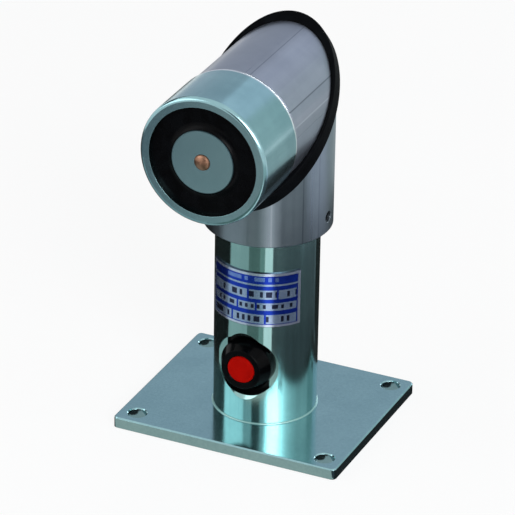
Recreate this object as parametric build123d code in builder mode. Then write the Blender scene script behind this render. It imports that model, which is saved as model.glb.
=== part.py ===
from build123d import *
import os
from math import isclose, sqrt

# Floor-standing magnetic door holder.
# A plated plate and pillar tube carry a mitred swivel elbow with a round holding magnet,
# and a red release button sits in a milled pocket of the tube.
# Millimetres. The origin is the underside of the plate on the tube's axis.
# +Z is up and the magnet faces -Y.

# Base plate
plate_width = 116.0
plate_depth = 96.0
plate_thickness = 5.5
plate_corner_radius = 2.5
plate_edge_chamfer = 0.6
bolt_edge_x = 9.0
bolt_edge_y = 8.5
bolt_hole_diameter = 9.0
bolt_hole_chamfer = 0.5
weld_leg = 2.0

# Pillar tube
tube_diameter = 50.0
tube_wall = 2.5
pillar_height = 102.5

# Clearances
slip_clearance = 0.05
running_clearance = 0.1
swivel_gap = 0.1

# Elbow halves and the disc between them
elbow_wall = 5.8
socket_depth = 18.0
elbow_neck = 5.6
elbow_edge_chamfer = 0.6
web_thickness = 6.0
front_web_thickness = 6.0
upper_cavity_wall = 5.8
disc_thickness = 10.0
disc_side_overhang = 1.2
disc_end_overhang = 5.7
disc_edge_radius = 1.0

# Set screws
elbow_screw_diameter = 5.4
elbow_screw_length = 4.6
elbow_screw_height = 8.2
head_screw_diameter = 4.0
head_screw_length = 13.0
socket_share = 0.5
socket_key_depth = 2.4

# Swivel bolt, along the mitre's normal
bolt_diameter = 12.0
bolt_bore_diameter = 6.0
bolt_head_flats = 18.0
bolt_head_height = 7.5
washer_diameter = 24.0
washer_thickness = 1.5
spring_washer_height = 2.5
spring_washer_thickness = 1.5
nut_height = 8.0
bolt_end_length = 2.0

# Holding magnet
pot_overhang = 0.8
magnet_length = 36.1
rim_front_radius = 2.0
rim_back_radius = 2.7
head_clearance = 0.4
pot_wall = 4.85
pot_back_thickness = 8.0
spigot_diameter = 33.0
spigot_clearance = 0.2
core_diameter = 31.0
core_edge_chamfer = 0.3
core_screw_diameter = 12.0
core_screw_reach = 10.2
core_screw_head_diameter = 18.0
core_screw_head_height = 7.6
core_screw_key_flats = 10.0
core_screw_key_depth = 5.0
core_floor_thickness = 3.8

# Coil
bobbin_wall = 1.2
bobbin_clearance = 0.2
winding_margin = 0.9
cover_recess = 2.2
cover_thickness = 2.0
cover_meniscus_width = 3.6
cover_meniscus_rise = 1.5
lead_diameter = 4.0
lead_hole_clearance = 0.4
lead_offset = 20.0
lead_bend_radius = 12.0
lead_drop_distance = 18.0
lead_drop_radius = 20.0
lead_end_radius = 9.0

# Ejector pin
pin_diameter = 7.6
pin_proud = 1.6
pin_dome_height = 1.2
pin_guide_length = 8.0
pin_collar_diameter = 9.8
pin_collar_thickness = 3.0
pin_stem_diameter = 5.0
pin_stem_length = 3.9
pin_bore_clearance = 0.2
pin_spring_wire = 0.8
pin_spring_turns = 4

# Release button
button_height = 35.5
pocket_diameter = 31.5
pocket_sink_width = 1.9
pocket_sink_depth = 1.1
cap_diameter = 13.8
cap_proud = 0.2
cap_edge_radius = 0.8
cap_flange_overlap = 1.7
cap_flange_thickness = 1.5
cap_stem_diameter = 6.0
cap_stem_length = 6.65
barrel_wall = 1.8
barrel_side_gap = 2.1
bezel_seat = 2.1
bezel_height = 9.0
bezel_lip = 1.4
bezel_taper = 3.0
bezel_taper_length = 6.0
bezel_edge_radius = 0.6
block_width = 26.0
block_height = 40.0
block_depth = 16.2
block_wall = 2.0
block_clearance = 0.15
cover_plate_thickness = 2.0
bridge_length = 14.0
bridge_width = 5.0
bridge_thickness = 1.0
bridge_pin_diameter = 4.0
bridge_pin_length = 1.6
contact_gap = 0.1
contact_foot = 4.0
terminal_spacing = 18.0
terminal_width = 5.0
terminal_thickness = 1.0
terminal_tab_length = 6.0
button_spring_wire = 0.6
button_spring_diameter = 7.0
button_spring_turns = 3

# Label
label_height = 28.2
label_gap = 5.25
label_thickness = 0.8
label_half_angle = 54.6
label_turn = 7.4

# Sizes worked out from the ones above
bolt_spacing_x = plate_width - 2 * bolt_edge_x
bolt_spacing_y = plate_depth - 2 * bolt_edge_y
tube_radius = tube_diameter / 2
tube_inner_radius = tube_radius - tube_wall
tube_top = pillar_height + socket_depth
elbow_radius = tube_radius + elbow_wall
upper_cavity_radius = elbow_radius - upper_cavity_wall
half_disc = disc_thickness / 2
mitre_rise = half_disc * sqrt(2)
axis_height = tube_top + elbow_neck + elbow_radius + mitre_rise
pot_radius = elbow_radius + pot_overhang
chamber_radius = pot_radius - pot_wall
core_radius = core_diameter / 2
spigot_radius = spigot_diameter / 2
rim_cutback = rim_back_radius * (2 - sqrt(2))
magnet_back = pot_radius - rim_cutback + mitre_rise + swivel_gap * sqrt(2) + head_clearance
magnet_front = magnet_back + magnet_length
chamber_floor = magnet_back + pot_back_thickness
head_axis = Axis((0, 0, axis_height), (0, -1, 0))
button_axis = Axis((0, 0, button_height), (0, -1, 0))

# The mitre: its plane leans 45 degrees, and the disc lies on top of it
swivel = Plane(origin=(0, 0, axis_height - mitre_rise), x_dir=(1, 0, 0), z_dir=(0, -1, 1))
upper_cut = disc_thickness + swivel_gap
upper_web_top = upper_cut + web_thickness


def front_plane(distance, height):
    """Plane that faces the front, at a distance ahead of the tube's axis."""
    return Plane(origin=(0, -distance, height), x_dir=(1, 0, 0), z_dir=(0, -1, 0))


def side_section(height):
    """Section plane through the tube's axis: local X runs to the front, local Y down."""
    return Plane(origin=(0, 0, height), x_dir=(0, -1, 0), z_dir=(1, 0, 0))


def save(builder, name):
    """Label a finished piece and write it."""
    builder.part.label = name
    export_step(builder.part, f"parts/{name}.step")


os.makedirs("parts", exist_ok=True)

# Base plate: rounded corners, eased top edges, and a chamfer below for the weld
with BuildPart() as base_plate:
    with BuildSketch():
        RectangleRounded(plate_width, plate_depth, plate_corner_radius)
        Circle(tube_radius + slip_clearance, mode=Mode.SUBTRACT)
        with GridLocations(bolt_spacing_x, bolt_spacing_y, 2, 2):
            Circle(bolt_hole_diameter / 2, mode=Mode.SUBTRACT)
    extrude(amount=plate_thickness)
    top_face = base_plate.faces().sort_by(Axis.Z)[-1]
    chamfer(top_face.outer_wire().edges(), plate_edge_chamfer)
    hole_edges = base_plate.edges().filter_by(GeomType.CIRCLE).group_by(Axis.Z)[-1]
    chamfer(
        hole_edges.filter_by(lambda e: isclose(e.radius, bolt_hole_diameter / 2)),
        bolt_hole_chamfer,
    )
    foot_edges = base_plate.edges().filter_by(GeomType.CIRCLE).group_by(Axis.Z)[0]
    chamfer(foot_edges.sort_by(SortBy.RADIUS)[-1], weld_leg)
save(base_plate, "base_plate")

# Where the button's bezel seats: a flat milled across the tube
barrel_radius = cap_diameter / 2 + running_clearance + barrel_wall
opening_half_width = barrel_radius + barrel_side_gap
flat_distance = sqrt(tube_inner_radius**2 - opening_half_width**2)

# Pillar tube: goes down through the plate, with the button's pocket milled in the front
pocket_radius = pocket_diameter / 2
pocket_edge = tube_radius - pocket_sink_depth
with BuildPart() as pillar_tube:
    with BuildSketch(Plane.XY.offset(weld_leg)):
        Circle(tube_radius)
        Circle(tube_inner_radius, mode=Mode.SUBTRACT)
    extrude(amount=tube_top - weld_leg)
    with BuildSketch(side_section(button_height)):
        with BuildLine():
            Polyline(
                (flat_distance, 0),
                (flat_distance, pocket_radius),
                (pocket_edge, pocket_radius),
                (pocket_edge + 2 * pocket_sink_depth, pocket_radius + 2 * pocket_sink_width),
                (pocket_edge + 2 * pocket_sink_depth, 0),
                close=True,
            )
        make_face()
    revolve(axis=button_axis, mode=Mode.SUBTRACT)
save(pillar_tube, "pillar_tube")

# Weld ring: fills the plate's chamfer below the tube's end, ground flush
with BuildPart() as foot_weld:
    with BuildSketch(Plane.XZ):
        with BuildLine():
            Polyline(
                (tube_inner_radius, 0),
                (tube_radius + weld_leg, 0),
                (tube_radius, weld_leg),
                (tube_inner_radius, weld_leg),
                close=True,
            )
        make_face()
    revolve(axis=Axis.Z)
save(foot_weld, "foot_weld")

# Label: a thin plate bent round the tube
label_bottom = button_height + pocket_radius + pocket_sink_width + label_gap
label_start = label_turn - label_half_angle - 90
label_inner_radius = tube_radius + slip_clearance
label_outer_radius = label_inner_radius + label_thickness
with BuildPart() as rating_label:
    with BuildSketch(Plane.XY.offset(label_bottom)):
        with BuildLine():
            outer = CenterArc((0, 0), label_outer_radius, label_start, 2 * label_half_angle)
            inner = CenterArc((0, 0), label_inner_radius, label_start, 2 * label_half_angle)
            Line(outer @ 0, inner @ 0)
            Line(outer @ 1, inner @ 1)
        make_face()
    extrude(amount=label_height)
save(rating_label, "rating_label")

# Places along the button's axis, as distances ahead of the tube's axis
block_front = sqrt(tube_inner_radius**2 - (block_width / 2) ** 2) - block_clearance
block_back = block_front - block_depth
bezel_front = flat_distance + bezel_height
barrel_front = bezel_front - bezel_lip - slip_clearance
cap_front = bezel_front + cap_proud
flange_front = block_front - block_wall - slip_clearance
flange_back = flange_front - cap_flange_thickness
bridge_front = flange_back - cap_stem_length
bridge_back = bridge_front - bridge_thickness
cap_bore_radius = cap_diameter / 2 + running_clearance
bezel_radius = opening_half_width + bezel_seat

# Switch block: an open box inside the tube, with the barrel that carries the bezel
with BuildPart() as switch_block:
    with BuildSketch(front_plane(block_back, button_height)):
        Rectangle(block_width, block_height)
    extrude(amount=block_depth)
    with BuildSketch(front_plane(block_front, button_height)):
        Circle(barrel_radius)
    extrude(amount=barrel_front - block_front)
    with BuildSketch(front_plane(block_back, button_height)):
        Rectangle(block_width - 2 * block_wall, block_height - 2 * block_wall)
    extrude(amount=block_depth - block_wall, mode=Mode.SUBTRACT)
    with BuildSketch(front_plane(block_back, button_height)):
        Circle(cap_bore_radius)
    extrude(amount=barrel_front - block_back, mode=Mode.SUBTRACT)
save(switch_block, "switch_block")

# Switch cover: rear lid with a slot for each terminal
cover_back = block_back - cover_plate_thickness
terminal_slot = [terminal_width + 2 * slip_clearance, terminal_thickness + 2 * slip_clearance]
with BuildPart() as switch_cover:
    with BuildSketch(front_plane(cover_back, button_height)):
        Rectangle(block_width, block_height)
        with GridLocations(0, terminal_spacing, 1, 2):
            Rectangle(terminal_slot[0], terminal_slot[1], mode=Mode.SUBTRACT)
    extrude(amount=cover_plate_thickness)
save(switch_cover, "switch_cover")

# Terminals: flat tabs through the cover, with a foot that the bridge closes on
foot_back = bridge_front + contact_gap
foot_front = foot_back + terminal_thickness
tab_back = cover_back - terminal_tab_length
foot_centre = (terminal_spacing + terminal_thickness - contact_foot) / 2
with BuildPart() as switch_terminals:
    with BuildSketch(front_plane(tab_back, button_height)):
        with GridLocations(0, terminal_spacing, 1, 2):
            Rectangle(terminal_width, terminal_thickness)
    extrude(amount=foot_front - tab_back)
    with BuildSketch(front_plane(foot_back, button_height)):
        with GridLocations(0, 2 * foot_centre, 1, 2):
            Rectangle(terminal_width, contact_foot)
    extrude(amount=terminal_thickness)
save(switch_terminals, "switch_terminals")

# Bezel: a ring nut on the barrel, tapered to its front, with a lip over the barrel's end
with BuildPart() as button_bezel:
    with BuildSketch(side_section(button_height)):
        with BuildLine():
            Polyline(
                (flat_distance, barrel_radius + slip_clearance),
                (flat_distance, bezel_radius),
                (bezel_front - bezel_taper_length, bezel_radius),
                (bezel_front, bezel_radius - bezel_taper),
                (bezel_front, cap_bore_radius),
                (bezel_front - bezel_lip, cap_bore_radius),
                (bezel_front - bezel_lip, barrel_radius + slip_clearance),
                close=True,
            )
        make_face()
    revolve(axis=button_axis)
    widest_edges = button_bezel.edges().filter_by(GeomType.CIRCLE).group_by(SortBy.RADIUS)[-1]
    fillet(widest_edges.sort_by(Axis.Y)[0], bezel_edge_radius)
    front_edges = button_bezel.edges().filter_by(GeomType.CIRCLE).group_by(Axis.Y)[0]
    fillet(front_edges, bezel_edge_radius)
save(button_bezel, "button_bezel")

# Red cap: guided in the barrel, held in by its flange, with the stem of the switch
with BuildPart() as button_cap:
    with BuildSketch(side_section(button_height)):
        with BuildLine():
            Polyline(
                (bridge_back - bridge_pin_length, 0),
                (bridge_back - bridge_pin_length, bridge_pin_diameter / 2),
                (bridge_front, bridge_pin_diameter / 2),
                (bridge_front, cap_stem_diameter / 2),
                (flange_back, cap_stem_diameter / 2),
                (flange_back, cap_diameter / 2 + cap_flange_overlap),
                (flange_front, cap_diameter / 2 + cap_flange_overlap),
                (flange_front, cap_diameter / 2),
                (cap_front, cap_diameter / 2),
                (cap_front, 0),
                close=True,
            )
        make_face()
    revolve(axis=button_axis)
    fillet(button_cap.edges().filter_by(GeomType.CIRCLE).group_by(Axis.Y)[0], cap_edge_radius)
save(button_cap, "button_cap")

# Contact bridge: a bar on the stem that joins the two contact feet from behind
with BuildPart() as contact_bridge:
    with BuildSketch(front_plane(bridge_back, button_height)):
        SlotOverall(bridge_length, bridge_width, rotation=90)
        Circle(bridge_pin_diameter / 2 + slip_clearance, mode=Mode.SUBTRACT)
    extrude(amount=bridge_thickness)
save(contact_bridge, "contact_bridge")


def coil_spring(wire, diameter, turns, back, front, height):
    """Helical spring that fills the space between two seats on a front-facing axis."""
    free_length = front - back - wire - 2 * slip_clearance
    start = (0, -back - wire / 2 - slip_clearance, height)
    with BuildPart() as spring:
        with BuildLine() as path:
            Helix(free_length / turns, free_length, (diameter - wire) / 2, start, (0, -1, 0))
        with BuildSketch(Plane(origin=path.line @ 0, z_dir=path.line % 0)):
            Circle(wire / 2)
        sweep(is_frenet=True)
    return spring


button_spring = coil_spring(
    button_spring_wire, button_spring_diameter, button_spring_turns, block_back, bridge_back, button_height
)
save(button_spring, "button_spring")

# Lower elbow half: a socket for the tube, and a web that closes the mitre
with BuildPart() as lower_cavity:
    with BuildSketch(Plane.XY.offset(tube_top)):
        Circle(tube_inner_radius)
    extrude(amount=3 * elbow_radius)
    split(bisect_by=swivel.offset(-web_thickness), keep=Keep.BOTTOM)

elbow_screw_z = pillar_height + elbow_screw_height
with BuildPart() as lower_elbow:
    with BuildSketch(Plane.XY.offset(pillar_height)):
        Circle(elbow_radius)
    extrude(amount=socket_depth + elbow_neck + 3 * elbow_radius)
    split(bisect_by=swivel, keep=Keep.BOTTOM)
    with BuildSketch(Plane.XY.offset(pillar_height)):
        Circle(tube_radius + slip_clearance)
    extrude(amount=socket_depth, mode=Mode.SUBTRACT)
    add(lower_cavity.part, mode=Mode.SUBTRACT)
    with BuildSketch(swivel):
        Circle(bolt_diameter / 2 + running_clearance)
    extrude(amount=-2 * web_thickness, mode=Mode.SUBTRACT)
    with BuildSketch(Plane.YZ):
        with Locations((0, elbow_screw_z)):
            Circle(elbow_screw_diameter / 2 + slip_clearance)
    extrude(amount=2 * elbow_radius, both=True, mode=Mode.SUBTRACT)
    rim = lower_elbow.edges().filter_by(GeomType.CIRCLE).group_by(Axis.Z)[0]
    chamfer(rim.sort_by(SortBy.RADIUS)[-1], elbow_edge_chamfer)
save(lower_elbow, "lower_elbow")

# Set screws of the lower half: hexagon sockets, tips on the tube
with BuildPart() as elbow_set_screws:
    for side in (-1, 1):
        tip = Plane(origin=(side * (tube_radius + slip_clearance), 0, elbow_screw_z), z_dir=(side, 0, 0))
        with BuildSketch(tip):
            Circle(elbow_screw_diameter / 2)
        extrude(amount=elbow_screw_length)
        with BuildSketch(tip.offset(elbow_screw_length)):
            RegularPolygon(elbow_screw_diameter * socket_share / sqrt(3), 6)
        extrude(amount=-socket_key_depth, mode=Mode.SUBTRACT)
save(elbow_set_screws, "elbow_set_screws")

# Mitre disc: oval, standing proud of both halves, with rounded edges
with BuildPart() as mitre_disc:
    with BuildSketch(swivel):
        Ellipse(elbow_radius + disc_side_overhang, elbow_radius * sqrt(2) + disc_end_overhang)
        Circle(bolt_diameter / 2 + running_clearance, mode=Mode.SUBTRACT)
    extrude(amount=disc_thickness)
    fillet(mitre_disc.edges().filter_by(GeomType.ELLIPSE), disc_edge_radius)
save(mitre_disc, "mitre_disc")

# Swivel bolt: hollow for the lead, its head above the upper web
head_seat = upper_web_top + swivel_gap + washer_thickness
nut_seat = -web_thickness - washer_thickness - spring_washer_height
nut_end = nut_seat - nut_height
bolt_end = nut_end - bolt_end_length
with BuildPart() as swivel_bolt:
    with BuildSketch(swivel.offset(bolt_end)):
        Circle(bolt_diameter / 2)
    extrude(amount=head_seat - bolt_end)
    with BuildSketch(swivel.offset(head_seat)):
        RegularPolygon(bolt_head_flats / sqrt(3), 6)
    extrude(amount=bolt_head_height)
    with BuildSketch(swivel.offset(bolt_end)):
        Circle(bolt_bore_diameter / 2)
    extrude(amount=head_seat + bolt_head_height - bolt_end, mode=Mode.SUBTRACT)
save(swivel_bolt, "swivel_bolt")

washer_bore_radius = bolt_diameter / 2 + running_clearance
with BuildPart() as thrust_washer:
    with BuildSketch(swivel.offset(upper_web_top + swivel_gap)):
        Circle(washer_diameter / 2)
        Circle(washer_bore_radius, mode=Mode.SUBTRACT)
    extrude(amount=washer_thickness)
save(thrust_washer, "thrust_washer")

with BuildPart() as swivel_washer:
    with BuildSketch(swivel.offset(-web_thickness - washer_thickness)):
        Circle(washer_diameter / 2)
        Circle(washer_bore_radius, mode=Mode.SUBTRACT)
    extrude(amount=washer_thickness)
save(swivel_washer, "swivel_washer")

# Spring washer: a shallow cone between the flat washer and the nut
cone_plane = Plane(origin=swivel.offset(nut_seat).origin, x_dir=(1, 0, 0), z_dir=-swivel.y_dir)
cone_axis = Axis(swivel.offset(nut_seat).origin, swivel.z_dir)
with BuildPart() as spring_washer:
    with BuildSketch(cone_plane):
        with BuildLine():
            Polyline(
                (washer_bore_radius, 0),
                (washer_bore_radius, spring_washer_thickness),
                (washer_diameter / 2, spring_washer_height),
                (washer_diameter / 2, spring_washer_height - spring_washer_thickness),
                close=True,
            )
        make_face()
    revolve(axis=cone_axis)
save(spring_washer, "spring_washer")

with BuildPart() as swivel_nut:
    with BuildSketch(swivel.offset(nut_end)):
        RegularPolygon(bolt_head_flats / sqrt(3), 6)
        Circle(bolt_diameter / 2 + slip_clearance, mode=Mode.SUBTRACT)
    extrude(amount=nut_height)
save(swivel_nut, "swivel_nut")

# Upper elbow half: carries the magnet on a front web, with a web that closes the mitre
with BuildPart() as upper_cavity:
    with BuildSketch(front_plane(magnet_back - front_web_thickness, axis_height)):
        Circle(upper_cavity_radius)
    extrude(amount=-magnet_back - 2 * elbow_radius)
    split(bisect_by=swivel.offset(upper_web_top), keep=Keep.TOP)

lead_hole_radius = lead_diameter / 2 + lead_hole_clearance
head_screw_distance = magnet_back - front_web_thickness / 2
with BuildPart() as upper_elbow:
    with BuildSketch(front_plane(magnet_back, axis_height)):
        Circle(elbow_radius)
    extrude(amount=-magnet_back - 2 * elbow_radius)
    split(bisect_by=swivel.offset(upper_cut), keep=Keep.TOP)
    add(upper_cavity.part, mode=Mode.SUBTRACT)
    with BuildSketch(front_plane(magnet_back, axis_height)):
        Circle(spigot_radius + spigot_clearance)
        with Locations((0, lead_offset)):
            Circle(lead_hole_radius)
    extrude(amount=-front_web_thickness, mode=Mode.SUBTRACT)
    with BuildSketch(swivel.offset(upper_cut)):
        Circle(bolt_diameter / 2 + running_clearance)
    extrude(amount=web_thickness, mode=Mode.SUBTRACT)
    with BuildSketch(Plane(origin=(0, -head_screw_distance, axis_height), z_dir=(-1, 0, 0))):
        Circle(head_screw_diameter / 2 + slip_clearance)
    extrude(amount=2 * elbow_radius, mode=Mode.SUBTRACT)
save(upper_elbow, "upper_elbow")

# Set screw of the head: on the far side, tip on the magnet's spigot
with BuildPart() as head_set_screw:
    screw_tip = Plane(
        origin=(-spigot_radius - slip_clearance, -head_screw_distance, axis_height), z_dir=(-1, 0, 0)
    )
    with BuildSketch(screw_tip):
        Circle(head_screw_diameter / 2)
    extrude(amount=head_screw_length)
    with BuildSketch(screw_tip.offset(head_screw_length)):
        RegularPolygon(head_screw_diameter * socket_share / sqrt(3), 6)
    extrude(amount=-socket_key_depth, mode=Mode.SUBTRACT)
save(head_set_screw, "head_set_screw")

# Magnet pot: rounded at both ends, with a spigot behind for the elbow
spigot_back = magnet_back - front_web_thickness + spigot_clearance
core_seat = chamber_floor
screw_head_front = core_seat - core_floor_thickness
with BuildPart() as magnet_pot:
    with BuildSketch(front_plane(magnet_back, axis_height)):
        Circle(pot_radius)
    extrude(amount=magnet_length)
    fillet(magnet_pot.edges().filter_by(GeomType.CIRCLE).sort_by(Axis.Y)[0], rim_front_radius)
    fillet(magnet_pot.edges().filter_by(GeomType.CIRCLE).sort_by(Axis.Y)[-1], rim_back_radius)
    with BuildSketch(front_plane(spigot_back, axis_height)):
        Circle(spigot_radius)
    extrude(amount=magnet_back - spigot_back)
    with BuildSketch(front_plane(chamber_floor, axis_height)):
        Circle(chamber_radius)
    extrude(amount=magnet_front - chamber_floor, mode=Mode.SUBTRACT)
    with BuildSketch(front_plane(spigot_back, axis_height)):
        Circle(core_screw_head_diameter / 2 + spigot_clearance)
    extrude(amount=screw_head_front - spigot_back, mode=Mode.SUBTRACT)
    with BuildSketch(front_plane(screw_head_front, axis_height)):
        Circle(core_screw_diameter / 2 + spigot_clearance)
    extrude(amount=core_floor_thickness, mode=Mode.SUBTRACT)
    with BuildSketch(front_plane(magnet_back, axis_height)):
        with Locations((0, lead_offset)):
            Circle(lead_hole_radius)
    extrude(amount=pot_back_thickness, mode=Mode.SUBTRACT)
save(magnet_pot, "magnet_pot")

# Core: stepped bore for the pin, its spring and the screw behind
pin_step = magnet_front - pin_guide_length
screw_tip_distance = core_seat + core_screw_reach
pin_bore_radius = pin_collar_diameter / 2 + pin_bore_clearance
with BuildPart() as magnet_core:
    with BuildSketch(front_plane(core_seat, axis_height)):
        Circle(core_radius)
    extrude(amount=magnet_front - core_seat)
    chamfer(magnet_core.edges().filter_by(GeomType.CIRCLE).group_by(Axis.Y)[0], core_edge_chamfer)
    with BuildSketch(front_plane(core_seat, axis_height)):
        Circle(core_screw_diameter / 2 + slip_clearance)
    extrude(amount=core_screw_reach, mode=Mode.SUBTRACT)
    with BuildSketch(front_plane(screw_tip_distance, axis_height)):
        Circle(pin_bore_radius)
    extrude(amount=pin_step - screw_tip_distance, mode=Mode.SUBTRACT)
    with BuildSketch(front_plane(pin_step, axis_height)):
        Circle(pin_diameter / 2 + running_clearance)
    extrude(amount=pin_guide_length, mode=Mode.SUBTRACT)
save(magnet_core, "magnet_core")

# Core screw: hexagon socket head in the pot's back, its tip carries the pin's spring
with BuildPart() as core_screw:
    with BuildSketch(front_plane(screw_head_front - core_screw_head_height, axis_height)):
        Circle(core_screw_head_diameter / 2)
        RegularPolygon(core_screw_key_flats / sqrt(3), 6, mode=Mode.SUBTRACT)
    extrude(amount=core_screw_key_depth)
    with BuildSketch(front_plane(screw_head_front, axis_height)):
        Circle(core_screw_head_diameter / 2)
    extrude(amount=core_screw_key_depth - core_screw_head_height)
    with BuildSketch(front_plane(screw_head_front, axis_height)):
        Circle(core_screw_diameter / 2)
    extrude(amount=screw_tip_distance - screw_head_front)
save(core_screw, "core_screw")

# Coil: a flanged bobbin and its winding round the core, under the cover ring
cover_front = magnet_front - cover_recess
cover_back_face = cover_front - cover_thickness
bobbin_back = chamber_floor + bobbin_clearance
bobbin_front = cover_back_face - slip_clearance
bobbin_inner = core_radius + bobbin_clearance
bobbin_outer = chamber_radius - bobbin_clearance
with BuildPart() as coil_bobbin:
    with BuildSketch(side_section(axis_height)):
        with BuildLine():
            Polyline(
                (bobbin_back, bobbin_inner),
                (bobbin_back, bobbin_outer),
                (bobbin_back + bobbin_wall, bobbin_outer),
                (bobbin_back + bobbin_wall, bobbin_inner + bobbin_wall),
                (bobbin_front - bobbin_wall, bobbin_inner + bobbin_wall),
                (bobbin_front - bobbin_wall, bobbin_outer),
                (bobbin_front, bobbin_outer),
                (bobbin_front, bobbin_inner),
                close=True,
            )
        make_face()
    revolve(axis=head_axis)
save(coil_bobbin, "coil_bobbin")

with BuildPart() as coil_winding:
    with BuildSketch(front_plane(bobbin_back + bobbin_wall + slip_clearance, axis_height)):
        Circle(bobbin_outer - winding_margin)
        Circle(bobbin_inner + bobbin_wall + slip_clearance, mode=Mode.SUBTRACT)
    extrude(amount=bobbin_front - bobbin_back - 2 * bobbin_wall - 2 * slip_clearance)
save(coil_winding, "coil_winding")

# Cover: a ring of potting that climbs the core in a hollow curve
cover_inner = core_radius + slip_clearance
cover_outer = chamber_radius - slip_clearance
curve_start = (cover_front, cover_inner + cover_meniscus_width)
curve_end = (cover_front + cover_meniscus_rise, cover_inner)
with BuildPart() as coil_cover:
    with BuildSketch(side_section(axis_height)):
        with BuildLine():
            Polyline(
                curve_end,
                (cover_back_face, cover_inner),
                (cover_back_face, cover_outer),
                (cover_front, cover_outer),
                curve_start,
            )
            TangentArc(curve_start, curve_end, tangent=(0, -1))
        make_face()
    revolve(axis=head_axis)
save(coil_cover, "coil_cover")

# Ejector pin: domed front, a collar behind the core's step, and a stem for the spring
collar_front = pin_step - slip_clearance
collar_back = collar_front - pin_collar_thickness
pin_front = magnet_front + pin_proud
dome_radius = ((pin_diameter / 2) ** 2 + pin_dome_height**2) / (2 * pin_dome_height)
with BuildPart() as ejector_pin:
    with BuildSketch(side_section(axis_height)):
        with BuildLine():
            Polyline(
                (pin_front, 0),
                (collar_back - pin_stem_length, 0),
                (collar_back - pin_stem_length, pin_stem_diameter / 2),
                (collar_back, pin_stem_diameter / 2),
                (collar_back, pin_collar_diameter / 2),
                (collar_front, pin_collar_diameter / 2),
                (collar_front, pin_diameter / 2),
                (pin_front - pin_dome_height, pin_diameter / 2),
            )
            RadiusArc((pin_front - pin_dome_height, pin_diameter / 2), (pin_front, 0), dome_radius)
        make_face()
    revolve(axis=head_axis)
save(ejector_pin, "ejector_pin")

ejector_spring = coil_spring(
    pin_spring_wire, pin_collar_diameter - 2 * pin_bore_clearance, pin_spring_turns,
    screw_tip_distance, collar_back, axis_height
)
save(ejector_spring, "ejector_spring")

# Coil lead: both halves meet on the swivel's axis, inside the hollow bolt
lead_join = swivel.offset(disc_thickness).origin
lead_corner = (0, lead_join.Y - lead_offset, axis_height + lead_offset)
with BuildPart() as coil_lead_upper:
    with BuildLine() as upper_route:
        FilletPolyline(
            lead_join, lead_corner, (0, -bobbin_back + slip_clearance, axis_height + lead_offset),
            radius=lead_bend_radius,
        )
    with BuildSketch(Plane(origin=upper_route.line @ 0, z_dir=upper_route.line % 0)):
        Circle(lead_diameter / 2)
    sweep()
save(coil_lead_upper, "coil_lead_upper")

drop_height = axis_height - mitre_rise - lead_drop_distance
terminal_z = button_height + terminal_spacing / 2
with BuildPart() as coil_lead_lower:
    with BuildLine() as lower_route:
        FilletPolyline(
            lead_join,
            (0, lead_drop_distance, drop_height),
            (0, lead_drop_distance, terminal_z),
            (0, -tab_back + slip_clearance, terminal_z),
            radius=(lead_drop_radius, lead_end_radius),
        )
    with BuildSketch(Plane(origin=lower_route.line @ 0, z_dir=lower_route.line % 0)):
        Circle(lead_diameter / 2)
    sweep()
save(coil_lead_lower, "coil_lead_lower")
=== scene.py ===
import math

import bpy
from mathutils import Matrix, Vector


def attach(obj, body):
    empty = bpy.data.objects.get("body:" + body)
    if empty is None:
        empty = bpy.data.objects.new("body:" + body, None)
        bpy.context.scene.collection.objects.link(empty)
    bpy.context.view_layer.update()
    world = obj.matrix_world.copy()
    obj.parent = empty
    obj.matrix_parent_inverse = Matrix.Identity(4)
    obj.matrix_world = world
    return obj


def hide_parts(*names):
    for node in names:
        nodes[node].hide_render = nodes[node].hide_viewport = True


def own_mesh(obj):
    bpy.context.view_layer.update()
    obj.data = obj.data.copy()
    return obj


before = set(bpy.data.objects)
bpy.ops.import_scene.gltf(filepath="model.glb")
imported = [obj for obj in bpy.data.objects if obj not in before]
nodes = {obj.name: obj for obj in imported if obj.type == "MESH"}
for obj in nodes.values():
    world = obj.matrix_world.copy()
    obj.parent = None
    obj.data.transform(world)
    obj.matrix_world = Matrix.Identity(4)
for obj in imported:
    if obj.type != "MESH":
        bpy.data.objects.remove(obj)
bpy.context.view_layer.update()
scene = bpy.context.scene
scene.view_settings.view_transform = "Standard"

# Sizes of the solids that the looks need, in metres
TUBE_RADIUS = 0.025
PLATE_TOP = 0.0055
PLATE_HALF = (0.058, 0.048)
HOLE_PLACE = (0.049, 0.0395)
LABEL_BOTTOM = 0.0584
LABEL_HEIGHT = 0.0282
LABEL_HALF_ANGLE = math.radians(54.6)
LABEL_TURN = math.radians(7.4)
HEAD_AXIS_HEIGHT = 0.163971
CORE_RADIUS = 0.0155
PIN_RADIUS = 0.0038

# Camera, at the place where the photograph was taken
CAMERA_PLACE = Vector((0.70752, -1.57764, 0.96795))
CAMERA_AZIMUTH = math.radians(24.31)
CAMERA_ELEVATION = math.radians(27.13)
CAMERA_ROLL = math.radians(0.99)
CAMERA_LENS = 286.69
CAMERA_SENSOR = 36
CAMERA_CLIP = (0.1, 20)

# Surfaces: the range that holds most of a noise's values, and the radius of worn edges
NOISE_RANGE = (0.3, 0.7)
METAL_EDGE = 0.0002
SOFT_EDGE = 0.0003
EDGE_SAMPLES = 6
# A quarter turn, so that a drawn surface blurs along its axis
DRAWN_TURN = 0.25
# Width and roughness of the dull rim of a turned face, which also carries painted shade
RIM_WIDTH = 0.0006
RIM_ROUGHNESS = 0.6
# Stretch along Y where the magnet's rear edge gets a painted highlight, a near-white band
REAR_EDGE_HIGHLIGHT = (-0.0412, -0.0403)

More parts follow.
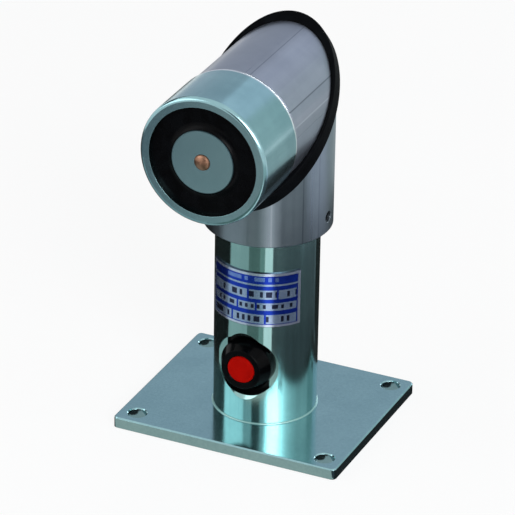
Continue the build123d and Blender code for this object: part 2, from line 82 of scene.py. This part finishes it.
# Printed plate, in shares of its width and of its height
LABEL_GROUND_ACROSS = (0.03, 0.97)
LABEL_GROUND_UP = (0.045, 0.95)
# Share of the height inside the dark top and bottom edge strips of painted shade
LABEL_UNSHADED_UP = (0.004, 0.996)
LABEL_SEPARATOR_UP = (0.765, 0.80)
LABEL_TITLE_ACROSS = (0.24, 0.80)
LABEL_TITLE_UP = (0.85, 0.925)
LABEL_FIELDS_ACROSS = (0.045, 0.955)
# Rows of fields: lower and upper edge, places of the dividers, seed of the dark blocks
LABEL_ROWS = [
    ((0.06, 0.23), (0.30, 0.64), 3.7),
    ((0.31, 0.45), (0.36, 0.55), 5.8),
    ((0.52, 0.69), (0.47, 0.76), 7.9),
]
DIVIDER_HALF = 0.010
BLOCK_MARGIN_BELOW = 0.035
BLOCK_MARGIN_ABOVE = 0.03
# Blocks: columns across the plate and the share of them that is filled
ROW_COLUMNS = 34.0
ROW_FILLED = 0.36
TITLE_COLUMNS = 30.0
TITLE_FILLED = 0.7
TITLE_SEED = 5.1

# Bead at the tube's foot
BEAD = 0.0006
BEAD_SEAT = 0.0001
BEAD_STEPS = 6
BEAD_SEGMENTS = 160


def linear(red, green, blue):
    """Colour for a node from the 0 to 255 values that a screen shows."""
    shares = [value / 255 for value in (red, green, blue)]
    curve = [s / 12.92 if s <= 0.04045 else ((s + 0.055) / 1.055) ** 2.4 for s in shares]
    return (*curve, 1.0)


def add_object(name, data):
    """A new object in the scene."""
    item = bpy.data.objects.new(name, data)
    scene.collection.objects.link(item)
    return item


def add_mesh(name, points, faces):
    """A new mesh object in the scene."""
    mesh = bpy.data.meshes.new(name)
    mesh.from_pydata(points, [], faces)
    return add_object(name, mesh)


def add_camera():
    """The photograph's camera."""
    back = Vector((
        math.sin(CAMERA_AZIMUTH) * math.cos(CAMERA_ELEVATION),
        -math.cos(CAMERA_AZIMUTH) * math.cos(CAMERA_ELEVATION),
        math.sin(CAMERA_ELEVATION),
    ))
    level = Vector((math.cos(CAMERA_AZIMUTH), math.sin(CAMERA_AZIMUTH), 0))
    upright = back.cross(level)
    right = level * math.cos(CAMERA_ROLL) + upright * math.sin(CAMERA_ROLL)
    up = upright * math.cos(CAMERA_ROLL) - level * math.sin(CAMERA_ROLL)
    data = bpy.data.cameras.new("camera")
    data.sensor_width = CAMERA_SENSOR
    data.lens = CAMERA_LENS
    data.clip_start, data.clip_end = CAMERA_CLIP
    camera = add_object("camera", data)
    camera.matrix_world = Matrix((
        (right.x, up.x, back.x, CAMERA_PLACE.x),
        (right.y, up.y, back.y, CAMERA_PLACE.y),
        (right.z, up.z, back.z, CAMERA_PLACE.z),
        (0, 0, 0, 1),
    ))
    scene.camera = camera


class Nodes:
    """Short calls for one material's node tree."""

    def __init__(self, name):
        self.material = bpy.data.materials.new(name)
        self.material.use_nodes = True
        self.tree = self.material.node_tree
        self.tree.nodes.clear()
        self.output = self.add("OutputMaterial")
        self.shader = self.add("BsdfPrincipled")
        self.surface(self.shader)
        self.coordinates = self.add("TexCoord").outputs["Object"]

    def add(self, kind):
        """A new node."""
        return self.tree.nodes.new("ShaderNode" + kind)

    def join(self, source, target):
        """A link from an output to an input."""
        self.tree.links.new(source, target)

    def surface(self, shader):
        """The shader that the material shows."""
        self.join(shader.outputs[0], self.output.inputs["Surface"])

    def put(self, value, target):
        """A link where value is another node's output, and otherwise a plain value."""
        if isinstance(value, bpy.types.NodeSocket):
            self.join(value, target)
        else:
            target.default_value = value

    def math(self, operation, first, second=0.0, third=None):
        """One step of arithmetic."""
        node = self.add("Math")
        node.operation = operation
        self.put(first, node.inputs[0])
        self.put(second, node.inputs[1])
        if third is not None:
            self.put(third, node.inputs[2])
        return node.outputs[0]

    def blend(self, first, second, share):
        """The sum of two values, of which the first has the given share."""
        rest = self.math("MULTIPLY", second, 1.0 - share)
        return self.math("MULTIPLY_ADD", first, share, rest)

    def axes(self, letters):
        """The coordinates on the axes that are named."""
        node = self.add("SeparateXYZ")
        self.join(self.coordinates, node.inputs[0])
        return [node.outputs[letter] for letter in letters]

    def stretched(self, scale):
        """Coordinates multiplied by a scale on each axis."""
        node = self.add("VectorMath")
        node.operation = "MULTIPLY"
        self.join(self.coordinates, node.inputs[0])
        node.inputs[1].default_value = scale
        return node.outputs[0]

    def noise(self, scale, detail, roughness=0.55, vector=None, distortion=0.0):
        """A noise of the object's coordinates, or of others."""
        node = self.add("TexNoise")
        self.join(vector or self.coordinates, node.inputs["Vector"])
        node.inputs["Scale"].default_value = scale
        node.inputs["Detail"].default_value = detail
        node.inputs["Roughness"].default_value = roughness
        node.inputs["Distortion"].default_value = distortion
        return node.outputs["Fac"]

    def tint(self, value, dark, light, ends=NOISE_RANGE):
        """A colour that goes from dark to light between the two ends of a value."""
        node = self.add("ValToRGB")
        for element, place, colour in zip(node.color_ramp.elements, ends, (dark, light)):
            element.position = place
            element.color = colour
        self.join(value, node.inputs[0])
        return node.outputs[0]

    def between(self, value, low, high, out_low, out_high):
        """A value moved from one range to another, held at the ends."""
        node = self.add("MapRange")
        self.put(value, node.inputs["Value"])
        node.inputs["From Min"].default_value = low
        node.inputs["From Max"].default_value = high
        node.inputs["To Min"].default_value = out_low
        node.inputs["To Max"].default_value = out_high
        return node.outputs["Result"]

    def varied(self, noise, low, high):
        """A value that follows a noise from low to high."""
        return self.between(noise, *NOISE_RANGE, low, high)

    def mix(self, share, first, second):
        """Two colours mixed."""
        node = self.add("Mix")
        node.data_type = "RGBA"
        self.put(share, node.inputs["Factor"])
        self.put(first, node.inputs["A"])
        self.put(second, node.inputs["B"])
        return node.outputs["Result"]

    def bump(self, height, distance, strength, edge_radius):
        """Fine relief on a surface with softened edges."""
        edge = self.add("Bevel")
        edge.samples = EDGE_SAMPLES
        edge.inputs["Radius"].default_value = edge_radius
        node = self.add("Bump")
        node.inputs["Distance"].default_value = distance
        node.inputs["Strength"].default_value = strength
        self.join(height, node.inputs["Height"])
        self.join(edge.outputs[0], node.inputs["Normal"])
        self.join(node.outputs[0], self.shader.inputs["Normal"])

    def set(self, **values):
        """Values or links for the shader's sockets."""
        for name, value in values.items():
            self.put(value, self.shader.inputs[name.replace("_", " ")])


def grained_metal(
    name, light, dark, grain, roughness, relief, streak=0.5, painted_highlight_band=None, drawn=0.0
):
    """Metal with a cloudy tint, a drawn or rolled grain, a faint mottle and any painted
    highlight band along Y.

    A drawn surface blurs what it mirrors more along Z than round it.
    """
    made = Nodes(name)
    clouds = made.noise(55, 4, 0.6)
    streaks = made.noise(1, 4, 0.65, made.stretched(grain))
    speckle = made.noise(2600, 2, 0.6)
    tone = made.blend(streaks, clouds, streak)
    grit = made.blend(streaks, speckle, streak)
    colour = made.tint(tone, dark, light, (0.34, 0.66))
    if painted_highlight_band:
        (y,) = made.axes("Y")
        # Painted highlight: a near-white band across the given stretch along Y
        colour = made.mix(made.between(y, *painted_highlight_band, 0.0, 1.0), colour, HIGHLIGHT_TINT)
    made.set(
        Base_Color=colour,
        Metallic=1.0,
        Roughness=made.varied(grit, roughness * 0.75, roughness * 1.3),
    )
    if drawn:
        tangent = made.add("Tangent")
        tangent.direction_type = "RADIAL"
        tangent.axis = "Z"
        made.set(
            Anisotropic=drawn,
            Anisotropic_Rotation=DRAWN_TURN,
            Tangent=tangent.outputs[0],
        )
    made.bump(grit, relief, 0.6, METAL_EDGE)
    return made.material


def satin_aluminium(name, light, dark, grain, roughness, upright, painted_reflection_lines):
    """Drawn aluminium: a satin face with a fine grain and a few painted reflection lines along
    its axis.
    """
    made = Nodes(name)
    x, y, z = made.axes("XYZ")
    if upright:
        ahead = made.math("MULTIPLY", y, -1.0)
    else:
        ahead = made.math("SUBTRACT", z, HEAD_AXIS_HEIGHT)
    angle = made.math("ARCTAN2", x, ahead)
    grain_lines = made.noise(1, 5, 0.7, made.stretched(grain))
    cloud = made.noise(45, 3, 0.6)
    colour = made.tint(made.blend(grain_lines, cloud, 0.35), dark, light)
    # Painted reflections: dark and light lines at set angles round the axis
    for degrees, width, reflection_colour, strength in painted_reflection_lines:
        offset = made.math("SUBTRACT", angle, math.radians(degrees))
        distance = made.math("ABSOLUTE", offset)
        line = made.between(distance, 0.0, math.radians(width), strength, 0.0)
        colour = made.mix(line, colour, reflection_colour)
    made.set(
        Base_Color=colour,
        Metallic=1.0,
        Roughness=made.varied(grain_lines, roughness * 0.88, roughness * 1.15),
    )
    made.bump(grain_lines, 0.000012, 0.5, SOFT_EDGE)
    return made.material


def moulded(name, light, dark, roughness, gloss=0.2):
    """Moulded plastic with a fine grain and faint flow marks."""
    made = Nodes(name)
    flow = made.noise(120, 3, 0.55, distortion=0.6)
    fine = made.noise(1800, 2, 0.6)
    made.set(
        Base_Color=made.tint(flow, dark, light, (0.35, 0.65)),
        Roughness=made.varied(fine, roughness * 0.8, roughness * 1.2),
        Specular_IOR_Level=gloss,
    )
    made.bump(fine, 0.00004, 0.5, SOFT_EDGE)
    return made.material


def turned(name, light, dark, rim, rings, roughness, edge):
    """Metal faced on a lathe: rings round the magnet's axis, and a duller rim with painted
    shade.
    """
    made = Nodes(name)
    x, z = made.axes("XZ")
    rise = made.math("SUBTRACT", z, HEAD_AXIS_HEIGHT)
    squares = made.math("MULTIPLY_ADD", x, x, made.math("MULTIPLY", rise, rise))
    radius = made.math("SQRT", squares)
    circle = made.add("CombineXYZ")
    made.join(made.math("MULTIPLY", radius, rings), circle.inputs[0])
    marks = made.noise(1, 3, 0.7, circle.outputs[0])
    cloud = made.noise(90, 3, 0.6)
    face_colour = made.tint(made.blend(marks, cloud, 0.6), dark, light, (0.32, 0.66))
    face_roughness = made.varied(marks, roughness * 0.8, roughness * 1.25)
    # Painted shade: the outer rim of the face takes the dark rim colour
    outer = made.between(radius, edge - RIM_WIDTH, edge - RIM_WIDTH / 3, 0.0, 1.0)
    dull = made.math("MULTIPLY", outer, RIM_ROUGHNESS)
    made.set(
        Base_Color=made.mix(outer, face_colour, rim),
        Metallic=1.0,
        Roughness=made.math("MAXIMUM", face_roughness, dull),
    )
    made.bump(marks, 0.00003, 0.6, METAL_EDGE)
    return made.material


def label_material():
    """Printed plate with a bare border, a title band and rows of plain fields. No lettering."""
    made = Nodes("printed_label")
    x, y, z = made.axes("XYZ")
    angle = made.math("ARCTAN2", x, made.math("MULTIPLY", y, -1.0))
    left_end = LABEL_TURN - LABEL_HALF_ANGLE
    right_end = LABEL_TURN + LABEL_HALF_ANGLE
    across = made.between(angle, left_end, right_end, 0.0, 1.0)
    upward = made.between(z, LABEL_BOTTOM, LABEL_BOTTOM + LABEL_HEIGHT, 0.0, 1.0)

    def both(first, second):
        """1 where both masks are 1."""
        return made.math("MULTIPLY", first, second)

    def strip(value, low, high):
        """1 between two places and 0 elsewhere."""
        return both(made.math("GREATER_THAN", value, low), made.math("LESS_THAN", value, high))

    def blocks(columns, seed, share):
        """Some of a row's columns, chosen by noise."""
        cell = made.add("CombineXYZ")
        made.join(made.math("FLOOR", made.math("MULTIPLY", across, columns)), cell.inputs[0])
        cell.inputs[1].default_value = seed
        chance = made.add("TexWhiteNoise")
        made.join(cell.outputs[0], chance.inputs["Vector"])
        return made.math("LESS_THAN", chance.outputs["Value"], share)

    def together(masks):
        """1 where any mask is 1."""
        total = masks[0]
        for mask in masks[1:]:
            total = made.math("MAXIMUM", total, mask)
        return total

    fields = []
    marks = []
    for (low, high), dividers, seed in LABEL_ROWS:
        band = both(strip(upward, low, high), strip(across, *LABEL_FIELDS_ACROSS))
        bars = together([strip(across, at - DIVIDER_HALF, at + DIVIDER_HALF) for at in dividers])
        fields.append(both(band, made.math("SUBTRACT", 1.0, bars)))
        inner = strip(upward, low + BLOCK_MARGIN_BELOW, high - BLOCK_MARGIN_ABOVE)
        marks.append(both(inner, blocks(ROW_COLUMNS, seed, ROW_FILLED)))
    field = together(fields)
    mark = both(together(marks), field)
    title_band = both(strip(upward, *LABEL_TITLE_UP), strip(across, *LABEL_TITLE_ACROSS))
    title = both(title_band, blocks(TITLE_COLUMNS, TITLE_SEED, TITLE_FILLED))
    inside_across = strip(across, *LABEL_GROUND_ACROSS)
    separator = both(strip(upward, *LABEL_SEPARATOR_UP), inside_across)
    ground = both(strip(upward, *LABEL_GROUND_UP), inside_across)
    # Painted shade: the top and bottom edge strips take the dark print colour
    shaded_edges = made.math("SUBTRACT", 1.0, strip(upward, *LABEL_UNSHADED_UP))

    cloud = made.noise(160, 3, 0.6)
    blue = made.tint(cloud, linear(28, 58, 172), linear(40, 76, 200))
    pale = made.tint(cloud, linear(150, 172, 206), linear(168, 188, 218))
    silver = made.tint(cloud, linear(196, 208, 232), linear(212, 222, 242))
    soft_blue = made.tint(cloud, linear(96, 126, 204), linear(126, 156, 222))
    dark = made.tint(cloud, linear(34, 40, 66), linear(56, 64, 92))
    colour = made.mix(ground, silver, blue)
    colour = made.mix(title, colour, soft_blue)
    colour = made.mix(separator, colour, pale)
    colour = made.mix(field, colour, pale)
    colour = made.mix(mark, colour, dark)
    colour = made.mix(shaded_edges, colour, dark)
    made.set(
        Base_Color=colour,
        Metallic=made.between(together([field, title, separator]), 0.0, 1.0, 0.92, 0.88),
        Roughness=made.varied(made.noise(900, 2), 0.19, 0.24),
    )
    unevenness = made.math("MULTIPLY", made.noise(300, 2), 0.05)
    relief = made.math("MULTIPLY_ADD", ground, -0.6, unevenness)
    made.bump(relief, 0.00002, 0.5, METAL_EDGE)
    return made.material


def dress(material, *names):
    """One material for several CAD nodes."""
    for name in names:
        mesh = nodes[name].data
        mesh.materials.clear()
        mesh.materials.append(material)


add_camera()

# Zinc-plated steel. Each metal has a light and a dark tint, the grain's scale on each axis,
# a roughness and the height of its relief
ZINC_LIGHT = linear(152, 190, 196)
ZINC_DARK = linear(138, 176, 183)
TUBE_LIGHT = linear(156, 195, 193)
TUBE_DARK = linear(142, 181, 180)
# Near-white tint of the painted highlight on the magnet's rear edge
HIGHLIGHT_TINT = linear(238, 244, 246)
# Dark tint painted on the rim of the core's face as shade
CORE_RIM_SHADE = linear(44, 60, 66)
plate_zinc = grained_metal(
    "plate_zinc", ZINC_LIGHT, ZINC_DARK, (700, 700, 700), 0.13, 0.00002
)
tube_zinc = grained_metal(
    "tube_zinc", TUBE_LIGHT, TUBE_DARK, (500, 500, 12), 0.13, 0.000006, drawn=0.9
)
# The magnet pot has a painted highlight along its rear edge
head_zinc = grained_metal(
    "head_zinc", ZINC_LIGHT, ZINC_DARK, (500, 12, 500), 0.17, 0.000004,
    streak=0.2, painted_highlight_band=REAR_EDGE_HIGHLIGHT,
)
bead_zinc = grained_metal(
    "bead_zinc", TUBE_LIGHT, TUBE_DARK, (300, 300, 300), 0.34, 0.00001
)
inner_zinc = grained_metal(
    "inner_zinc", ZINC_LIGHT, ZINC_DARK, (300, 300, 300), 0.22, 0.00002
)
core_zinc = turned("core_face", ZINC_LIGHT, ZINC_DARK, CORE_RIM_SHADE, 5000, 0.2, CORE_RADIUS)
dress(plate_zinc, "base_plate", "foot_weld")
dress(tube_zinc, "pillar_tube")
dress(head_zinc, "magnet_pot")
dress(inner_zinc, "swivel_bolt", "thrust_washer", "swivel_washer", "swivel_nut")
dress(core_zinc, "magnet_core")

# The elbow's two halves
GREY_LIGHT = linear(158, 165, 178)
GREY_DARK = linear(142, 149, 162)
LOWER_LIGHT = linear(148, 160, 170)
LOWER_DARK = linear(132, 144, 154)
# Tints of the painted reflection lines
REFLECTION_DARK = linear(70, 76, 88)
REFLECTION_LIGHT = linear(196, 204, 214)
# Painted reflection lines: degrees round the axis, half width in degrees, colour, strength
LOWER_REFLECTIONS = [
    (27, 1.2, REFLECTION_LIGHT, 0.35),
    (56, 0.8, REFLECTION_DARK, 0.5),
    (74, 0.8, REFLECTION_DARK, 0.4),
]
UPPER_REFLECTIONS = [
    (12.5, 0.7, REFLECTION_DARK, 0.5),
    (60.5, 0.9, REFLECTION_DARK, 0.75),
    (75, 1.1, REFLECTION_LIGHT, 0.5),
]
lower_grey = satin_aluminium(
    "elbow_lower", LOWER_LIGHT, LOWER_DARK, (420, 420, 3), 0.3, True, LOWER_REFLECTIONS
)
upper_grey = satin_aluminium(
    "elbow_upper", GREY_LIGHT, GREY_DARK, (420, 3, 420), 0.3, False, UPPER_REFLECTIONS
)
dress(lower_grey, "lower_elbow")
dress(upper_grey, "upper_elbow")

# Plastic and the printed plate
BLACK_LIGHT = linear(5, 6, 8)
BLACK_DARK = linear(2, 2, 3)
DISC_LIGHT = linear(9, 11, 14)
RED_LIGHT = linear(160, 8, 2)
RED_DARK = linear(144, 5, 1)
black = moulded("black_moulding", BLACK_LIGHT, BLACK_DARK, 0.35)
dress(black, "switch_block", "switch_cover", "coil_bobbin")
dress(moulded("black_bezel", BLACK_LIGHT, BLACK_DARK, 0.16, 0.05), "button_bezel")
dress(moulded("black_disc", DISC_LIGHT, BLACK_LIGHT, 0.55, 0.02), "mitre_disc")
dress(moulded("black_cover", BLACK_LIGHT, BLACK_DARK, 0.25, 0.05), "coil_cover")
dress(moulded("red_cap", RED_LIGHT, RED_DARK, 0.4, 0.02), "button_cap")
sheath = moulded("lead_sheath", linear(62, 62, 66), linear(44, 44, 48), 0.5)
dress(sheath, "coil_lead_upper", "coil_lead_lower")
dress(label_material(), "rating_label")

# Copper, brass, spring wire and blackened screws
PIN_LIGHT = linear(176, 136, 112)
PIN_DARK = linear(128, 94, 76)
# Dark tint painted on the copper pin's rim as shade
PIN_RIM_SHADE = linear(112, 84, 70)
copper = turned("copper_pin", PIN_LIGHT, PIN_DARK, PIN_RIM_SHADE, 6000, 0.3, PIN_RADIUS)
wire = grained_metal(
    "copper_wire", linear(196, 120, 80), linear(150, 84, 54), (40, 1400, 40), 0.3, 0.00004
)
brass = grained_metal(
    "brass_contacts", linear(206, 176, 108), linear(176, 144, 82), (200, 200, 900), 0.25, 0.00001
)
spring = grained_metal(
    "spring_wire", linear(168, 170, 172), linear(120, 122, 126), (900, 900, 900), 0.25, 0.00001
)
blackened = grained_metal(
    "black_screws", linear(16, 17, 20), linear(8, 9, 11), (600, 600, 600), 0.5, 0.00001
)
dress(copper, "ejector_pin")
dress(wire, "coil_winding")
dress(brass, "switch_terminals", "contact_bridge")
dress(spring, "button_spring", "ejector_spring", "spring_washer")
dress(blackened, "elbow_set_screws", "head_set_screw", "core_screw")


def ring_piece(name, profile, segments, centre):
    """A ring turned round the vertical through centre, from (radius, height) pairs."""
    points = []
    faces = []
    count = len(profile)
    for step in range(segments):
        turn = 2 * math.pi * step / segments
        for radius, height in profile:
            points.append((
                centre.x + radius * math.cos(turn),
                centre.y + radius * math.sin(turn),
                centre.z + height,
            ))
    for step in range(segments):
        here = step * count
        there = (step + 1) % segments * count
        for place in range(count):
            following = (place + 1) % count
            faces.append((here + place, there + place, there + following, here + following))
    piece = add_mesh(name, points, faces)
    piece.data.shade_smooth()
    piece.data.validate()
    return piece


# Bead at the tube's foot, the thin bright line in the photograph
bead_profile = [(TUBE_RADIUS - BEAD_SEAT, -BEAD_SEAT)]
for step in range(BEAD_STEPS + 1):
    swing = math.pi / 2 * step / BEAD_STEPS
    bead_profile.append((TUBE_RADIUS + BEAD * math.cos(swing), BEAD * math.sin(swing)))
bead_profile.append((TUBE_RADIUS - BEAD_SEAT, BEAD))
foot_bead = ring_piece("foot_bead", bead_profile, BEAD_SEGMENTS, Vector((0, 0, PLATE_TOP)))
foot_bead.data.materials.append(bead_zinc)
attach(foot_bead, "base")


def shortening_spring(name, node, body):
    """A spring in place of the rigid one: a copy of its mesh on its body, with the CAD part
    hidden.
    """
    piece = add_object(name, nodes[node].data.copy())
    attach(piece, body)
    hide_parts(node)
    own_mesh(piece)


shortening_spring("button_coil", "button_spring", "base")
shortening_spring("ejector_coil", "ejector_spring", "head")

# Stage: a white floor and background, with grey cards round the object
# that the metal mirrors, as in a photographer's studio
FLOOR_HEIGHT = -0.0003
MAT_HEIGHT = -0.0002
STRIP_HEIGHT = -0.0001
HOLE_MAT_HEIGHT = -0.00005
FLOOR_HALF = 6.0
FLOOR_DARK = (0.9, 0.9, 0.9, 1)
FLOOR_LIGHT = (0.93, 0.93, 0.93, 1)
# Share of plain white in what the floor shows, the rest being its lit colour with the shadow
FLOOR_GLOW = 0.85
WHITE = (1, 1, 1, 1)
SKY_COLOUR = (0.95, 0.98, 1.0, 1)
SKY_LEVEL = 0.55

# Cards: tints, how uneven their level is, and degrees for each flat face
GREY = (1.0, 1.0, 1.0)
COOL = (0.92, 0.99, 1.12)
TEAL = (0.88, 1.02, 1.02)
GREEN = (0.76, 1.04, 0.97)
WARM = (1.04, 0.99, 0.90)
CARD_UNEVEN = 0.05
CARD_FACET = 4

# Distances of the mats' edges from the tube's axis
NEAR = 0.076
MIDDLE = 0.13
BACK_FAR = 0.26
FAR = 0.33
RIGHT_END = 0.45
FRONT_END = 0.75
BACK_END = 1.0
# Mats on the floor: sector, inner and outer reach, level, tint
FLOOR_MATS = [
    ("mat_left", (-165, -59), (NEAR, FAR), 0.015, GREY),
    ("mat_left_far", (-165, -59), (FAR, FRONT_END), 0.12, GREY),
    ("mat_front_left", (-59, -37), (NEAR, FAR), 0.58, TEAL),
    ("mat_front_middle", (-37, -14), (NEAR, FAR), 0.54, TEAL),
    ("mat_front_dark", (-14, 10), (NEAR, FAR), 0.21, GREEN),
    ("mat_front", (10, 20), (NEAR, FAR), 0.38, GREEN),
    ("mat_front_bright", (20, 36), (NEAR, FAR), 1.2, GREY),
    ("mat_front_far_left", (-59, -22.5), (FAR, FRONT_END), 0.19, COOL),
    ("mat_front_far", (-22.5, 22), (FAR, FRONT_END), 0.39, GREY),
    ("mat_front_far_right", (22, 95), (FAR, FRONT_END), 0.62, TEAL),
    ("mat_right_near", (36, 144), (NEAR, MIDDLE), 0.07, COOL),
    ("mat_right_front", (36, 95), (MIDDLE, FAR), 0.10, COOL),
    ("mat_right", (95, 144), (MIDDLE, BACK_FAR), 0.09, COOL),
    ("mat_right_line", (144, 148), (NEAR, BACK_FAR), 0.20, COOL),
    ("mat_back", (148, 195), (NEAR, BACK_FAR), 0.02, GREY),
    ("mat_right_far", (95, 138), (BACK_FAR, RIGHT_END), 0.80, COOL),
    ("mat_back_far", (138, 195), (BACK_FAR, BACK_END), 0.52, TEAL),
]

# Distances of the standing cards, and their lower and upper edges
WALL = 1.6
CLOSE = 0.45
BACK_RISE = (0.02, 2.4)
LEFT_RISE = (0.55, 1.15)
FRONT_RISE = (0.09, 0.38)
KEY_RISE = (0.45, 1.2)
# Standing cards: sector, distance, lower and upper edge, level, tint
WALL_CARDS = [
    ("card_back_left", (188, 222), WALL, BACK_RISE, 0.58, COOL),
    ("card_back", (155, 188), WALL, BACK_RISE, 0.84, COOL),
    ("card_back_right", (132, 155), WALL, BACK_RISE, 0.66, TEAL),
    ("card_left_far", (222, 262), WALL, LEFT_RISE, 0.12, GREY),
    ("card_left", (262, 283), WALL, LEFT_RISE, 0.05, GREY),
    ("card_front", (-4, 14), CLOSE, FRONT_RISE, 0.10, GREY),
    ("card_key_side", (23, 30), WALL, KEY_RISE, 3.0, GREY),
]
# Cards beside the key lamp, brightest near the lamp and fading to the level of the background
GLOW_CARDS = 11
GLOW_START = 53
GLOW_STEP = 4
GLOW_PEAK = 6.0
GLOW_FADE = 12
for step in range(GLOW_CARDS):
    away = GLOW_STEP * step
    glow_sector = (GLOW_START + away, GLOW_START + away + GLOW_STEP)
    glow_level = 1 + GLOW_PEAK * math.exp(-away / GLOW_FADE)
    WALL_CARDS.append((f"card_glow_{step}", glow_sector, WALL, KEY_RISE, glow_level, GREY))

# Mats under the plate and in front of it: how far they stand out past it, and their levels
MARGIN = 0.02
BACK_MARGIN = 0.03
UNDER_SHADE_LEVEL = 0.03
STRIP_LEVEL = 0.62
# Lit patch under each bolt hole, a painted reflection in the hole's wall: its two corners from
# the hole's centre, and its level
HOLE_MAT_LOW = (-0.005, -0.003)
HOLE_MAT_HIGH = (0.0, 0.006)
HOLE_REFLECTION_LEVEL = 0.5

# Lamps: place, point that they face, width and height, power
LAMPS = [
    ("key", (1.05, -1.2, 0.95), (0, 0, 0.1), (0.75, 1.0), 18),
    ("fill", (-1.40, -0.93, 0.95), (0, 0, 0.1), (2.0, 0.9), 8.4),
    ("rim", (0.08, 1.5, 0.33), (0, 0, 0.18), (1.4, 0.12), 3),
]


def grey_card(name, points, faces, level, tint):
    """A staged card of one grey or tint that only reflections show."""
    card = add_mesh(name, points, faces)
    made = Nodes(name)
    glow = made.add("Emission")
    low = (*(level * (1 - CARD_UNEVEN) * share for share in tint), 1)
    high = (*(level * (1 + CARD_UNEVEN) * share for share in tint), 1)
    made.join(made.tint(made.noise(7, 2), low, high), glow.inputs["Color"])
    made.surface(glow)
    card.data.materials.append(made.material)
    card.visible_camera = False
    card.visible_diffuse = False
    card.visible_shadow = False


def sector_card(name, sector, reach, rise, level, tint):
    """A card in a sector, in degrees from the front (-Y) to the right (+X)."""
    start, end = sector
    steps = max(2, int((end - start) / CARD_FACET))
    points = []
    for step in range(steps + 1):
        turn = math.radians(start + (end - start) * step / steps)
        for radius, height in zip(reach, rise):
            points.append((radius * math.sin(turn), -radius * math.cos(turn), height))
    faces = [(2 * i, 2 * i + 1, 2 * i + 3, 2 * i + 2) for i in range(steps)]
    grey_card(name, points, faces, level, tint)


def rectangle(low, high, height):
    """The corners of a level rectangle, from one corner to the opposite one."""
    return [
        (low[0], low[1], height),
        (high[0], low[1], height),
        (high[0], high[1], height),
        (low[0], high[1], height),
    ]


def floor_rectangle(name, low, high, level, height=STRIP_HEIGHT, tint=GREY):
    """A mat from one corner to the opposite one."""
    grey_card(name, rectangle(low, high, height), [(0, 1, 2, 3)], level, tint)


def background_rays(tree):
    """1 for the rays that show the background: straight, mirrored or through glass."""
    path = tree.nodes.new("ShaderNodeLightPath")
    shown = path.outputs["Is Camera Ray"]
    for kind in ("Is Glossy Ray", "Is Transmission Ray"):
        either = tree.nodes.new("ShaderNodeMath")
        either.operation = "MAXIMUM"
        tree.links.new(shown, either.inputs[0])
        tree.links.new(path.outputs[kind], either.inputs[1])
        shown = either.outputs[0]
    return shown


def add_floor():
    """White floor that keeps a soft shadow."""
    low = (-FLOOR_HALF, -FLOOR_HALF)
    high = (FLOOR_HALF, FLOOR_HALF)
    floor = add_mesh("floor", rectangle(low, high, FLOOR_HEIGHT), [(0, 1, 2, 3)])
    made = Nodes("floor_white")
    made.set(Base_Color=made.tint(made.noise(3, 2), FLOOR_DARK, FLOOR_LIGHT), Roughness=0.9)
    glow = made.add("Emission")
    glow.inputs["Color"].default_value = WHITE
    blend = made.add("MixShader")
    share = made.math("MULTIPLY", background_rays(made.tree), FLOOR_GLOW)
    made.join(share, blend.inputs[0])
    made.join(made.shader.outputs[0], blend.inputs[1])
    made.join(glow.outputs[0], blend.inputs[2])
    made.surface(blend)
    floor.data.materials.append(made.material)


def add_world():
    """White surroundings, dimmer as a lamp than as a background."""
    world = bpy.data.worlds.new("world")
    scene.world = world
    world.use_nodes = True
    tree = world.node_tree
    tree.nodes.clear()
    output = tree.nodes.new("ShaderNodeOutputWorld")
    blend = tree.nodes.new("ShaderNodeMixShader")
    tree.links.new(background_rays(tree), blend.inputs[0])
    for place, colour, level in ((1, SKY_COLOUR, SKY_LEVEL), (2, WHITE, 1.0)):
        sky = tree.nodes.new("ShaderNodeBackground")
        sky.inputs["Color"].default_value = colour
        sky.inputs["Strength"].default_value = level
        tree.links.new(sky.outputs[0], blend.inputs[place])
    tree.links.new(blend.outputs[0], output.inputs["Surface"])


def add_lamp(name, place, aim, size, power):
    """A soft rectangular lamp."""
    data = bpy.data.lights.new(name, "AREA")
    data.shape = "RECTANGLE"
    data.size, data.size_y = size
    data.energy = power
    lamp = add_object(name, data)
    lamp.location = place
    lamp.rotation_mode = "QUATERNION"
    lamp.rotation_quaternion = (Vector(aim) - Vector(place)).to_track_quat("-Z", "Y")


for name, sector, reach, level, tint in FLOOR_MATS:
    sector_card(name, sector, reach, (MAT_HEIGHT, MAT_HEIGHT), level, tint)
for name, sector, distance, rise, level, tint in WALL_CARDS:
    sector_card(name, sector, (distance, distance), rise, level, tint)

half_x, half_y = PLATE_HALF
under_low = (-half_x - MARGIN, -half_y)
under_high = (half_x + MARGIN, half_y + BACK_MARGIN)
# Painted shade: a near-black mat under the plate, seen only in reflections
floor_rectangle("mat_under_shade", under_low, under_high, UNDER_SHADE_LEVEL)
strip_low = (-half_x - MARGIN, -half_y - MARGIN)
floor_rectangle("mat_strip_front", strip_low, (half_x, -half_y), STRIP_LEVEL, tint=WARM)
# Painted reflection: a lit patch under each bolt hole
for side in (-1, 1):
    for end in (-1, 1):
        hole = (side * HOLE_PLACE[0], end * HOLE_PLACE[1])
        corner = (hole[0] + HOLE_MAT_LOW[0], hole[1] + HOLE_MAT_LOW[1])
        opposite = (hole[0] + HOLE_MAT_HIGH[0], hole[1] + HOLE_MAT_HIGH[1])
        floor_rectangle("mat_hole_reflection", corner, opposite, HOLE_REFLECTION_LEVEL, HOLE_MAT_HEIGHT)

add_floor()
add_world()
for name, place, aim, size, power in LAMPS:
    add_lamp(name, place, aim, size, power)
